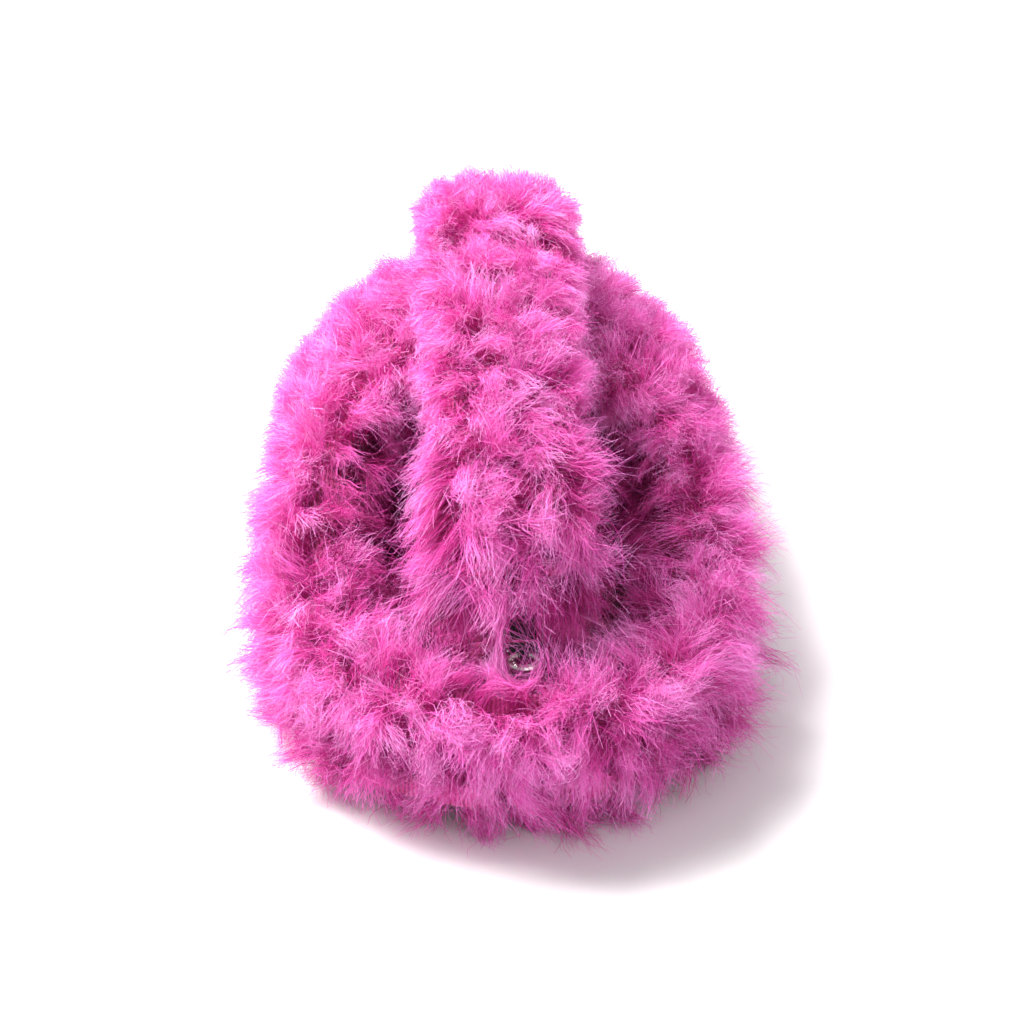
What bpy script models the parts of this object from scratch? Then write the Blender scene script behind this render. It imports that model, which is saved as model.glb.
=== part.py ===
"""Fluffy closed house slipper with a lengthwise fur strap over the foot opening.

The heel is at -Y, the toe at +Y and the sole rests on Z = 0. The upper is built in
layers, from the pile outside to the plush lining inside, all of them offsets of one
lofted surface that runs from the sole's edge up to the topline of the foot opening.
The strap is sewn to the vamp in front of its fold line. Behind it the free strap
arches over the opening and ends in a webbing tab with a small snap hook, next to a
D-ring on the heel. All sizes are in metres.
"""

import math

import bmesh
import bpy
import numpy as np
from mathutils import Matrix, Vector

MM = 0.001
GAP = 0.3 * MM  # between touching pieces

# Sole stack: lowest and highest Z of each layer
OUTSOLE_Z = (0.0, 6.0 * MM)
MIDSOLE_Z = (6.3 * MM, 14.2 * MM)
BOARD_Z = (14.5 * MM, 16.0 * MM)
FOOTBED_Z = (16.3 * MM, 20.8 * MM)
SOCK_Z = (21.1 * MM, 25.0 * MM)
RAND_Z = (1.8 * MM, 13.9 * MM)
UPPER_BASE_Z = 16.3 * MM  # the upper's lower edge stands on the board

# How far each layer's edge lies inside the upper's lower edge in plan
RAND_INSET = (1.0 * MM, 2.6 * MM)
TREAD_INSET = 3.0 * MM  # the outsole's and the midsole's
BOARD_INSET = 0.6 * MM
FOOTBED_INSET = 11.6 * MM
SOCK_INSET = 12.2 * MM
GROOVE_WIDTH, GROOVE_DEPTH, GROOVE_PITCH, GROOVE_LENGTH = 2.6 * MM, 1.8 * MM, 15.0 * MM, 140 * MM

# Upper layers, as distances from the fur's knitted backing, outward positive
PILE = 18.0 * MM
SIDE_FULLNESS = 7.5 * MM  # how much longer the pile is low down beside the heel
FULL_STATION, FULL_SPAN = 2.7, 1.3  # where it is longest, in stations from the heel
COLLAR_PILE = 16.0 * MM
INTERLINING = (-0.5 * MM, -1.2 * MM)
STIFFENER = (-1.7 * MM, -2.5 * MM)
PADDING = (-3.0 * MM, -4.8 * MM)
LINING = (-5.3 * MM, -10.3 * MM)
COLLAR_INSIDE = -13.0 * MM
COLLAR_LEG = 14.0 * MM  # how far the collar reaches down from the topline on both sides
COLLAR_CROWN = 12.0 * MM  # its pile above the topline
HEM_GAP = 2.4 * MM  # between the collar's lower edge and the layers below it
PILE_HEM_Z = 4.0 * MM  # how low the pile hangs over the sole's side
HANG = -0.12  # the least upward part of the pile's direction

# Strap: its underside in side view from toe to heel as (y, z) in millimetres, its
# section, and the fold about which the free part lifts
STRAP_LINE = (
    (121, 56.5), (111, 63.5), (97, 71.5), (77, 78.5), (57, 82.5), (36, 84), (16, 84.5),
    (-6, 85.5), (-30, 84.5), (-52, 78.5), (-70, 67), (-80, 56), (-85, 46),
)
FOLD_Y = 24.0 * MM
FOLD_N = 8.0 * MM  # height of the fold's axis above the strap's underside
FOLD_SLOPE = math.tan(math.radians(44))  # how the pile is cut back above the fold's axis
FOLD_CLEAR = 0.8 * MM
FOLD_FADE = 32.0 * MM
STRAP_HALF = 22.8 * MM
STRAP_HEIGHT = 23.0 * MM
CORE_HALF = 16.8 * MM
WEBBING_HALF = 15.0 * MM
WEBBING_N = (0.3 * MM, 2.1 * MM)
PAD_N = (2.5 * MM, 8.2 * MM)
BACKING_N = (-1.1 * MM, -0.1 * MM)
STRAP_STEPS, PAD_STEPS = 11, 9  # sections behind the fold, in the free strap and in its pad
STRAP_DROP = 1.2 * MM  # how much lower the strap's long edges lie than its middle
TAPER_LENGTH, TAPER_HEIGHT, TAPER_WIDTH = 34.0 * MM, 0.30, 0.16
TOE_TAPER_LENGTH, TOE_TAPER_HEIGHT = 95.0 * MM, 0.55  # the pile's, from the toe end on

# Hardware at the strap's end
HARDWARE_X = 4.4 * MM
WIRE = 0.8 * MM  # radius of the ring's wire
WIRE_FIT = 0.1 * MM
LOOP_RADIUS = 2.4 * MM
LOOP_SEWN, LOOP_N = 13.0 * MM, 3.5 * MM  # its start: before the strap's end, above its underside
RING_BEYOND, RING_N = 2.2 * MM, 3.4 * MM  # the ring's upper bar: beyond the end, above the underside
RING_HALF = 5.6 * MM
RING_CORNER = 1.9 * MM
TAB_HALF = 4.0 * MM
TAB_THICK = 1.6 * MM
SNAP_Y = -98.0 * MM
TAB_Z = 34.0 * MM  # middle of the snap tab
TONGUE_Z = (26.9 * MM, 28.5 * MM)
TONGUE_ROOT = -108.6 * MM
SNAP_RADIUS = 4.8 * MM
POST_HOLE = 1.6 * MM
POST = 1.2 * MM
CAP_DOME, CAP_RIM = 2.2 * MM, 0.6 * MM  # heights
SOCKET_RADIUS, SOCKET_MOUTH, SOCKET_DEPTH, SOCKET_WALL = 4.5 * MM, 2.8 * MM, 1.9 * MM, 0.6 * MM
STUD_FLANGE, STUD_FLANGE_THICK = 4.2 * MM, 0.6 * MM
STUD_NECK, STUD_HEAD, STUD_HEIGHT = 1.5 * MM, 2.0 * MM, 3.2 * MM
EYELET_RADIUS, EYELET_THICK = 3.8 * MM, 0.5 * MM

CENTRING = -0.478 * MM  # puts the middle of the slipper's length on the frame's origin

# Stations round the slipper, from the heel along the right side to the toe, as
# (sole edge x, y), (topline x, y, z), (outward bulge, rise at the sole edge) and
# (reach, rise at the topline), in millimetres. The left side mirrors them.
STATIONS = (
    ((0, -114), (0, -124, 35), (7, 6), (1, -8)),
    ((25, -107), (29, -115, 36), (7, 6), (1, -8)),
    ((40, -89), (47, -94, 37), (8, 7), (1, -8)),
    ((44, -61), (54, -64, 39), (9, 8), (1, -9)),
    ((45, -29), (54, -34, 43), (10, 9), (3, -8)),
    ((48, 5), (48, -7, 50), (10, 14), (7, -3)),
    ((50, 42), (35, 8, 57), (10, 20), (15, 1)),
    ((46, 81), (19, 14, 61), (10, 24), (30, 4)),
    ((28, 111), (8, 16, 63), (9, 26), (42, 5)),
    ((0, 123), (0, 16, 63), (8, 27), (48, 5)),
)
SIDE_SEAM = 5.6  # the station of the seams between the quarters and the vamp
SEAM_HALF = 0.02  # half a seam's gap, in stations
TOE_PUFF = (7.0, 11.0)  # the stations that the toe puff and the heel counter reach
HEEL_COUNTER = (-2.5, 2.5)
LOWER_STEPS, COLLAR_STEPS = 5, 3  # facets up the profile, below and beside the collar
CROWN_POINTS = 5  # points over the collar's rounded top

COLOURS = {
    "pile": ((0.78, 0.10, 0.42), 0.95, 0.0),
    "knit": ((0.80, 0.09, 0.30), 0.9, 0.0),
    "foam": ((0.90, 0.86, 0.74), 0.9, 0.0),
    "canvas": ((0.75, 0.72, 0.66), 0.9, 0.0),
    "board": ((0.45, 0.33, 0.22), 0.85, 0.0),
    "stiffener": ((0.62, 0.60, 0.56), 0.7, 0.0),
    "eva": ((0.88, 0.86, 0.84), 0.7, 0.0),
    "rubber": ((0.52, 0.09, 0.28), 0.75, 0.0),
    "webbing": ((0.02, 0.02, 0.025), 0.8, 0.0),
    "steel": ((0.72, 0.72, 0.74), 0.22, 1.0),
}


def clear_scene():
    for obj in list(bpy.data.objects):
        bpy.data.objects.remove(obj, do_unlink=True)


def collection(name):
    group = bpy.data.collections.new(name)
    bpy.context.scene.collection.children.link(group)
    return group


def material(name):
    found = bpy.data.materials.get(name)
    if found:
        return found
    colour, roughness, metallic = COLOURS[name]
    made = bpy.data.materials.new(name)
    made.use_nodes = True
    shader = made.node_tree.nodes["Principled BSDF"]
    shader.inputs["Base Color"].default_value = (*colour, 1.0)
    shader.inputs["Roughness"].default_value = roughness
    shader.inputs["Metallic"].default_value = metallic
    made.diffuse_color = (*colour, 1.0)
    return made


def add_object(name, mesh, mat, smooth=True):
    obj = bpy.data.objects.new(name, mesh)
    PARTS.objects.link(obj)
    mesh.materials.clear()
    mesh.materials.append(material(mat))
    if smooth:
        mesh.shade_smooth()
        mesh.set_sharp_from_angle(angle=math.radians(40))
    return obj


def loft(name, sections, mat, ring=False, levels=None):
    """A closed solid through equal-length closed sections, capped at both ends or joined into a ring.

    With levels, one number for each point of a section, every four-sided facet is split
    along the same diagonal in all the layers, so that thin gaps between them stay open."""
    bm = bmesh.new()
    rows = [[bm.verts.new(p) for p in section] for section in sections]
    count = len(rows[0])
    last = len(rows) if ring else len(rows) - 1
    for i in range(last):
        a, b = rows[i], rows[(i + 1) % len(rows)]
        for k in range(count):
            n = (k + 1) % count
            if levels is None:
                bm.faces.new((a[k], a[n], b[n], b[k]))
            elif levels[k] <= levels[n]:
                bm.faces.new((a[k], a[n], b[n]))
                bm.faces.new((a[k], b[n], b[k]))
            else:
                bm.faces.new((a[k], a[n], b[k]))
                bm.faces.new((a[n], b[n], b[k]))
    for cap in () if ring else (rows[0], rows[-1]):
        for k in range(count // 2 - 1):
            bm.faces.new((cap[k], cap[k + 1], cap[count - 2 - k]))
            bm.faces.new((cap[k], cap[count - 2 - k], cap[count - 1 - k]))
    bmesh.ops.recalc_face_normals(bm, faces=bm.faces)
    if bm.calc_volume(signed=True) < 0:
        bmesh.ops.reverse_faces(bm, faces=bm.faces)
    mesh = bpy.data.meshes.new(name)
    bm.to_mesh(mesh)
    bm.free()
    return add_object(name, mesh, mat)


def spline(points, at, closed=False):
    """Catmull-Rom value at a real-numbered position along the points."""
    pts = np.asarray(points, float)
    n = len(pts)
    i = int(math.floor(at))
    f = at - i
    if closed:
        p = [pts[(i + k) % n] for k in (-1, 0, 1, 2)]
    else:
        i = min(max(i, 0), n - 2)
        f = at - i
        p = [pts[min(max(i + k, 0), n - 1)] for k in (-1, 0, 1, 2)]
    return 0.5 * (
        2 * p[1]
        + (p[2] - p[0]) * f
        + (2 * p[0] - 5 * p[1] + 4 * p[2] - p[3]) * f * f
        + (3 * p[1] - p[0] - 3 * p[2] + p[3]) * f**3
    )


def station_rows():
    """The stations all round, each as one row of ten numbers in metres."""
    right = [np.array([*a, *b, *c, *d], float) * MM for a, b, c, d in STATIONS]
    flip = np.array([-1, 1, -1, 1, 1, 1, 1, 1, 1])
    return right + [row * flip for row in right[-2:0:-1]]


ROWS = station_rows()
TURN = len(ROWS)


def base_point(t, s):
    """A point on the backing surface: t in stations round the slipper, s from sole edge to topline."""
    row = spline(ROWS, t, closed=True)
    sole = np.array([row[0], row[1], UPPER_BASE_Z])
    top = row[2:5]
    bulge, sole_rise, reach, top_rise = row[5:9]
    ahead, behind = spline(ROWS, t + 0.1, True), spline(ROWS, t - 0.1, True)
    out = np.array([ahead[1] - behind[1], behind[0] - ahead[0], 0.0])
    out /= np.linalg.norm(out)
    toward = np.array([sole[0] - top[0], sole[1] - top[1], 0.0]) + out * 15 * MM
    toward /= np.linalg.norm(toward)
    first = sole + out * bulge + np.array([0, 0, sole_rise])
    second = top + toward * reach + np.array([0, 0, top_rise])
    r = 1 - s
    return r**3 * sole + 3 * r * r * s * first + 3 * r * s * s * second + s**3 * top


def normal(t, s):
    """The backing surface's outward normal."""
    h = 0.04
    lo, hi = max(s - h, 0.0), min(s + h, 1.0)
    along = base_point(t + h, s) - base_point(t - h, s)
    up = base_point(t, hi) - base_point(t, lo)
    n = np.cross(along, up)
    return n / np.linalg.norm(n)


def layer_point(t, s, d):
    return base_point(t, s) + normal(t, s) * d


def pile_point(t, s, d):
    """Like layer_point, but the pile hangs almost straight down where the surface turns under."""
    n = normal(t, s)
    n[2] = max(n[2], HANG)
    return base_point(t, s) + n / np.linalg.norm(n) * d


def columns(first=None, last=None):
    """Where the lofts have their columns: every half station and both sides of each seam.

    All layers share them, so that their facets lie parallel. Without a first and last
    station they go once round."""
    if first is None:
        first, last = 0.0, TURN - 0.1
    seams = (0.0, SIDE_SEAM, TURN - SIDE_SEAM)
    marks = set()
    for turn in (-TURN, 0, TURN):
        for seam in seams:
            marks.update((turn + seam - SEAM_HALF, turn + seam + SEAM_HALF))
        for half in range(2 * TURN):
            if min(abs(half / 2 - seam) for seam in (*seams, TURN)) > 0.2:
                marks.add(turn + half / 2)
    return sorted(t for t in marks if first - 0.02 < t < last + 0.02)


def height_below(t, distance):
    """The profile's parameter s at a distance along it below the topline."""
    steps = np.linspace(1.0, 0.0, 41)
    points = [base_point(t, s) for s in steps]
    lengths = np.cumsum([0.0] + [np.linalg.norm(b - a) for a, b in zip(points, points[1:])])
    return float(np.interp(distance, lengths, steps))


def profile_steps(t, part):
    """The profile parameters of a column's points: below the collar, beside it, or both."""
    edge = height_below(t, COLLAR_LEG)
    below = list(np.linspace(0.0, edge, LOWER_STEPS + 1))
    beside = list(np.linspace(edge, 1.0, COLLAR_STEPS + 1))
    if part == "below":
        return below[:-1] + [height_below(t, COLLAR_LEG + HEM_GAP)]
    if part == "beside":
        return beside
    if part == "stiffened":
        return below[:-1] if SIDE_SEAM < t < TURN - SIDE_SEAM else below + beside[1:-1]
    return below + beside[1:]


def pile_depth(t, s):
    """The pile's thickness: it stands out further low on the sides, where it hangs."""
    turn = min(t % TURN, TURN - t % TURN)
    side = math.exp(-(((turn - FULL_STATION) / FULL_SPAN) ** 2))
    return PILE + SIDE_FULLNESS * side * (1 - s)


def shell_section(t, part, depths, hem=None):
    """A closed section of one layer: up its outer side and down its inner side, with a hem below."""
    steps = profile_steps(t, part)
    if hem is None:
        outer = [layer_point(t, s, max(depths)) for s in steps]
        inner = [layer_point(t, s, min(depths)) for s in steps[::-1]]
        return outer + inner
    outer = [pile_point(t, s, pile_depth(t, s)) for s in steps]
    inner = [pile_point(t, s, min(depths)) for s in steps[::-1]]
    return [np.array([*outer[0][:2], hem]), *outer, *inner, np.array([*inner[-1][:2], hem])]


def make_layer(name, mat, span, part, depths, hem=None):
    """One layer of the upper, all round when span is None."""
    ring = span is None
    marks = columns() if ring else columns(*span)
    sections = [shell_section(t, part, depths, hem) for t in marks]
    half = list(range(len(sections[0]) // 2))
    return loft(name, sections, mat, ring, half + half[::-1])


def collar_section(t):
    """An upside-down U over the upper's top edge: pile outside, over the rim and inside."""
    steps = profile_steps(t, "beside")
    n, top = normal(t, 1.0), base_point(t, 1.0)
    up = top - base_point(t, 0.94)
    up /= np.linalg.norm(up)
    outside = [pile_point(t, s, COLLAR_PILE) for s in steps]
    inside = [layer_point(t, s, COLLAR_INSIDE) for s in steps[::-1]]
    middle, half = (COLLAR_PILE + COLLAR_INSIDE) / 2, (COLLAR_PILE - COLLAR_INSIDE) / 2
    crown = [
        top + n * (middle + half * math.cos(a)) + up * COLLAR_CROWN * math.sin(a)
        for a in np.linspace(0, math.pi, CROWN_POINTS + 2)[1:-1]
    ]
    hollow = [layer_point(t, s, LINING[0] - GAP) for s in steps]
    hollow[-1] = hollow[-1] + up * 4 * GAP
    back = [pile_point(t, s, GAP) for s in steps[::-1]]
    back[0] = back[0] + up * 4 * GAP
    return outside + crown + inside + hollow + back


def plan_outline(inset, count=60):
    """The sole's outline in plan, drawn in by an inset, as points in order."""
    pts = []
    for t in np.linspace(0, TURN, count, endpoint=False):
        ahead, behind = spline(ROWS, t + 0.1, True), spline(ROWS, t - 0.1, True)
        out = np.array([ahead[1] - behind[1], behind[0] - ahead[0]])
        out /= np.linalg.norm(out)
        pts.append(spline(ROWS, t, True)[:2] - out * inset)
    return pts


def slab(name, inset, levels, mat, edge=0.0):
    """A flat layer of the sole from a filled 2D curve, made a mesh so its edge can be bevelled."""
    data = bpy.data.curves.new(name, "CURVE")
    data.dimensions, data.fill_mode = "2D", "BOTH"
    low, high = levels
    data.extrude = (high - low) / 2
    line = data.splines.new("POLY")
    outline = plan_outline(inset)
    line.points.add(len(outline) - 1)
    for point, (x, y) in zip(line.points, outline):
        point.co = (x, y, 0, 1)
    line.use_cyclic_u = True
    curve = bpy.data.objects.new(name, data)
    PARTS.objects.link(curve)
    mesh = mesh_of(curve)
    mesh.transform(Matrix.Translation((0, 0, (low + high) / 2)))
    obj = add_object(name, mesh, mat)
    if edge:
        bevel = obj.modifiers.new("edge", "BEVEL")
        bevel.width, bevel.segments = edge, 2
        bevel.limit_method, bevel.angle_limit = "ANGLE", math.radians(50)
    return obj


def mesh_of(curve):
    """The curve as a welded mesh in world space. The curve itself is removed."""
    bpy.context.view_layer.update()
    graph = bpy.context.evaluated_depsgraph_get()
    mesh = bpy.data.meshes.new_from_object(curve.evaluated_get(graph))
    mesh.transform(curve.matrix_world)
    bm = bmesh.new()
    bm.from_mesh(mesh)
    bmesh.ops.remove_doubles(bm, verts=bm.verts, dist=0.01 * MM)
    bmesh.ops.recalc_face_normals(bm, faces=bm.faces)
    bm.to_mesh(mesh)
    bm.free()
    bpy.data.objects.remove(curve, do_unlink=True)
    mesh.name = "welded"
    return mesh


def wire_mesh(name, points, radius):
    """A closed ring of round wire along points, as a welded mesh."""
    data = bpy.data.curves.new(name, "CURVE")
    data.dimensions = "3D"
    data.bevel_depth, data.bevel_resolution = radius, 2
    line = data.splines.new("POLY")
    line.points.add(len(points) - 1)
    for point, co in zip(line.points, points):
        point.co = (*co, 1)
    line.use_cyclic_u = True
    curve = bpy.data.objects.new(name, data)
    PARTS.objects.link(curve)
    return mesh_of(curve)


def box_mesh(low, high):
    bm = bmesh.new()
    bmesh.ops.create_cube(bm, size=1.0)
    low, high = Vector(low), Vector(high)
    size, centre = high - low, (low + high) / 2
    for v in bm.verts:
        v.co = Vector((v.co.x * size.x, v.co.y * size.y, v.co.z * size.z)) + centre
    mesh = bpy.data.meshes.new("box")
    bm.to_mesh(mesh)
    bm.free()
    return mesh


def cylinder_mesh(radius, start, end, sides=20):
    """A cylinder between two points."""
    start, end = Vector(start), Vector(end)
    bm = bmesh.new()
    bmesh.ops.create_cone(
        bm,
        cap_ends=True,
        segments=sides,
        radius1=radius,
        radius2=radius,
        depth=(end - start).length,
    )
    turn = Vector((0, 0, 1)).rotation_difference(end - start).to_matrix().to_4x4()
    bmesh.ops.transform(bm, matrix=Matrix.Translation((start + end) / 2) @ turn, verts=bm.verts)
    mesh = bpy.data.meshes.new("cylinder")
    bm.to_mesh(mesh)
    bm.free()
    return mesh


def boolean(obj, other_mesh, operation):
    """Cuts another mesh from an object, or joins it on, with the EXACT solver."""
    tool = bpy.data.objects.new(obj.name + "_tool", other_mesh)
    CUTTERS.objects.link(tool)
    tool.hide_render, tool.display_type = True, "WIRE"
    mod = obj.modifiers.new(operation.lower(), "BOOLEAN")
    mod.operation, mod.object, mod.solver = operation, tool, "EXACT"


def move_origin(obj, point):
    """Puts the object's origin on its joint without moving its shape."""
    point = Vector(point)
    obj.data.transform(Matrix.Translation(-point))
    obj.location = point


# ---------------------------------------------------------------- sole unit
def make_outsole():
    obj = slab("outsole", TREAD_INSET, OUTSOLE_Z, "rubber", edge=1.2 * MM)
    cutter = bmesh.new()
    for k in range(-7, 9):
        if k in (-1, 0):
            continue  # the smooth waist that the slipper's flat resting face is measured on
        bmesh.ops.create_cube(cutter, size=1.0)
        for v in cutter.verts[-8:]:
            x, y, z = v.co
            v.co = (x * GROOVE_LENGTH, y * GROOVE_WIDTH + k * GROOVE_PITCH, z * 2 * GROOVE_DEPTH)
    mesh = bpy.data.meshes.new("tread")
    cutter.to_mesh(mesh)
    cutter.free()
    boolean(obj, mesh, "DIFFERENCE")


def make_rand():
    """The rubber strip wrapped round the midsole's side, above the outsole's edge."""
    low, high = RAND_Z
    outer, inner = (plan_outline(inset) for inset in RAND_INSET)
    sections = [
        [(*out, low), (*out, high), (*inside, high), (*inside, low)]
        for out, inside in zip(outer, inner)
    ]
    loft("sole_rand", sections, "rubber", ring=True)


def make_sole():
    make_outsole()
    slab("midsole", TREAD_INSET, MIDSOLE_Z, "eva")
    make_rand()
    slab("insole_board", BOARD_INSET, BOARD_Z, "board")
    slab("footbed_foam", FOOTBED_INSET, FOOTBED_Z, "foam", edge=1.0 * MM)
    slab("sock_liner", SOCK_INSET, SOCK_Z, "pile", edge=1.5 * MM)


# ---------------------------------------------------------------- upper
def make_upper():
    right = (SEAM_HALF, SIDE_SEAM - SEAM_HALF)
    front = (SIDE_SEAM + SEAM_HALF, TURN - SIDE_SEAM - SEAM_HALF)
    left = (TURN - SIDE_SEAM + SEAM_HALF, TURN - SEAM_HALF)
    back = (left[0] - TURN, right[1])
    pile = (GAP, PILE)
    make_layer("upper_interlining", "canvas", None, "all", INTERLINING)
    make_layer("toe_puff", "stiffener", TOE_PUFF, "stiffened", STIFFENER)
    make_layer("heel_counter", "stiffener", HEEL_COUNTER, "stiffened", STIFFENER)
    make_layer("upper_padding", "foam", None, "all", PADDING)
    make_layer("vamp_lining", "pile", front, "below", LINING)
    make_layer("quarter_lining", "pile", back, "below", LINING)
    make_layer("quarter_fur_right", "pile", right, "below", pile, PILE_HEM_Z)
    make_layer("quarter_fur_left", "pile", left, "below", pile, PILE_HEM_Z)
    make_layer("vamp_fur", "pile", front, "below", pile, PILE_HEM_Z)
    up = list(range(COLLAR_STEPS + 1))
    levels = up + [COLLAR_STEPS] * CROWN_POINTS + up[::-1] + up + up[::-1]
    loft("collar_fur", [collar_section(t) for t in columns()], "pile", True, levels)


# ---------------------------------------------------------------- strap
def strap_curve():
    """The strap's underside in the Y-Z plane, as points with their distance along it."""
    marks = np.linspace(0, len(STRAP_LINE) - 1, 241)
    pts = np.array([spline(STRAP_LINE, at) for at in marks]) * MM
    steps = np.linalg.norm(np.diff(pts, axis=0), axis=1)
    return pts, np.concatenate([[0.0], np.cumsum(steps)])


CURVE, ALONG = strap_curve()
STRAP_END = ALONG[-1]
FOLD_AT = float(np.interp(-FOLD_Y, -CURVE[:, 0], ALONG))
STRAP_STEP = (STRAP_END - FOLD_AT) / STRAP_STEPS  # spacing of the sections that all its layers share


def strap_point(along, x, n):
    """A point of the strap: distance along it, sideways, and above its underside."""
    def at(a):
        return np.array([np.interp(a, ALONG, CURVE[:, 0]), np.interp(a, ALONG, CURVE[:, 1])])

    a = min(max(along, 1e-4), STRAP_END - 1e-4)
    tangent = at(a + 1e-4) - at(a - 1e-4)
    tangent /= np.linalg.norm(tangent)
    y, z = at(a) + tangent * (along - a) + np.array([tangent[1], -tangent[0]]) * n
    return np.array([x, y, z - STRAP_DROP * (x / STRAP_HALF) ** 2])


def taper(along):
    """0 along the strap, rising to 1 at both its ends."""
    from_end = min(along, STRAP_END - along) / TAPER_LENGTH
    return (1 - min(max(from_end, 0.0), 1.0)) ** 2


def pile_height(along):
    """The share of its full height that the strap's pile has."""
    toe = max(0.0, 1 - along / TOE_TAPER_LENGTH)
    heel = max(0.0, 1 - (STRAP_END - along) / TAPER_LENGTH) ** 2
    return 1 - TOE_TAPER_HEIGHT * toe - TAPER_HEIGHT * heel


def fur_profile():
    """The strap cover's section as (x, n): over its rounded top, then back round the core."""
    w, h, c, top = STRAP_HALF, STRAP_HEIGHT, CORE_HALF + GAP, PAD_N[1] + GAP
    half = ((w, 0), (w, 0.42 * h), (0.91 * w, 0.72 * h), (0.68 * w, 0.92 * h), (0.34 * w, 1.0 * h))
    outer = [*half, (0, 1.01 * h), *((-x, n) for x, n in half[::-1])]
    core = ((c, 0), (c, 0.5 * top), (c, top), (0.66 * c, top), (0.33 * c, top))
    inner = [*((-x, n) for x, n in core), (0, top), *core[::-1]]
    return outer + inner


def core_profile(half, levels):
    low, high = levels
    return [(half, low), (half, high), (-half, high), (-half, low)]


def strap_part(name, mat, profile, first, last, cover=False, fold_first=False, fold_last=False):
    """A solid along the strap between two distances, its ends cut back above the fold's axis."""
    shared = FOLD_AT + STRAP_STEP * np.arange(-20, 20)
    between = [at for at in shared if first + 3 * MM < at < last - 3 * MM]
    sections = []
    for along in (first, *between, last):
        fade_first = max(0.0, 1 - (along - first) / FOLD_FADE) * fold_first
        fade_last = max(0.0, 1 - (last - along) / FOLD_FADE) * fold_last
        section = []
        for x, n in profile:
            t = taper(along)
            wide = x * (1 - TAPER_WIDTH * t)
            tall = n * pile_height(along) if cover and n > PAD_N[1] + 2 * GAP else n
            back = max(0.0, n - FOLD_N) * FOLD_SLOPE
            section.append(strap_point(along + back * (fade_first - fade_last), wide, tall))
        sections.append(section)
    return loft(name, sections, mat)


def make_strap():
    webbing = core_profile(WEBBING_HALF, WEBBING_N)
    pad = core_profile(CORE_HALF, PAD_N)
    backing = core_profile(STRAP_HALF - 1.5 * MM, BACKING_N)
    cover = fur_profile()
    sewn_end, free_start = FOLD_AT - FOLD_CLEAR, FOLD_AT + FOLD_CLEAR
    strap_part("front_strap_fur", "pile", cover, 0, sewn_end, True, fold_last=True)
    strap_part("front_strap_pad", "foam", pad, 3 * MM, sewn_end)
    strap_part("front_strap_webbing", "webbing", webbing, 3 * MM, sewn_end)
    fur_end = STRAP_END - 3 * MM
    free = [
        strap_part("strap_fur", "pile", cover, free_start, fur_end, True, fold_first=True),
        strap_part("strap_pad", "foam", pad, free_start, FOLD_AT + PAD_STEPS * STRAP_STEP),
        strap_part("strap_webbing", "webbing", webbing, free_start, STRAP_END),
        strap_part("strap_backing", "knit", backing, free_start, fur_end),
        make_end_loop(),
    ]
    for obj in free:
        move_origin(obj, strap_point(FOLD_AT, 0, FOLD_N))


# ---------------------------------------------------------------- hardware
def ring_top():
    """The middle of the bar that the strap's end loop holds."""
    return strap_point(STRAP_END + RING_BEYOND, HARDWARE_X, RING_N)


def ring_low():
    y = ring_top()[1]
    return np.array([HARDWARE_X, y - 1.0 * MM, TAB_Z])


def webbing_loop(name, bar, start, half, thick):
    """A folded strip of webbing from start to a bar, with room for the bar in its fold."""
    bar, start = Vector(bar), Vector(start)
    reach = (start - bar).length
    strip = box_mesh((-half, -thick / 2, 0), (half, thick / 2, reach))
    turn = Vector((0, 0, 1)).rotation_difference(start - bar).to_matrix().to_4x4()
    strip.transform(Matrix.Translation(bar) @ turn)
    obj = add_object(name, strip, "webbing", smooth=False)
    side = Vector((half, 0, 0))
    boolean(obj, cylinder_mesh(LOOP_RADIUS, bar - side, bar + side), "UNION")
    boolean(obj, cylinder_mesh(WIRE + WIRE_FIT, bar - side * 1.5, bar + side * 1.5), "DIFFERENCE")
    return obj


def make_end_loop():
    """The black loop sewn to the webbing's end, round the ring's upper bar."""
    start = strap_point(STRAP_END - LOOP_SEWN, HARDWARE_X, LOOP_N)
    return webbing_loop("strap_end_loop", ring_top(), start, TAB_HALF, TAB_THICK)


def make_ring():
    top, low = ring_top(), ring_low()
    corner = RING_CORNER
    pts = []
    centres = (
        (RING_HALF - corner, top, 90, 1),
        (RING_HALF - corner, low, 0, -1),
        (corner - RING_HALF, low, -90, -1),
        (corner - RING_HALF, top, 180, 1),
    )
    for cx, end, start_deg, side in centres:
        for k in range(5):
            a = math.radians(start_deg - k * 22.5)
            x = HARDWARE_X + cx + corner * math.cos(a)
            rise = corner * math.sin(a) - side * corner
            f = (end[2] + rise - low[2]) / (top[2] - low[2])
            pts.append((x, low[1] + (top[1] - low[1]) * f, end[2] + rise))
    mesh = wire_mesh("loop_ring", pts, WIRE)
    move_origin(add_object("loop_ring", mesh, "steel"), top)


def turned(name, profile, mat, place, steps=24):
    """A turned piece from (radius, z) points that run down its outer side, from axis to axis."""
    mesh = bpy.data.meshes.new(name)
    bm = bmesh.new()
    verts = [bm.verts.new((r, 0, z)) for r, z in profile]
    for a, b in zip(verts, verts[1:]):
        bm.edges.new((a, b))
    bm.to_mesh(mesh)
    bm.free()
    obj = add_object(name, mesh, mat)
    obj.location = place
    screw = obj.modifiers.new("turn", "SCREW")
    screw.steps = screw.render_steps = steps
    screw.use_merge_vertices, screw.merge_threshold = True, 0.00001
    return obj


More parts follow.
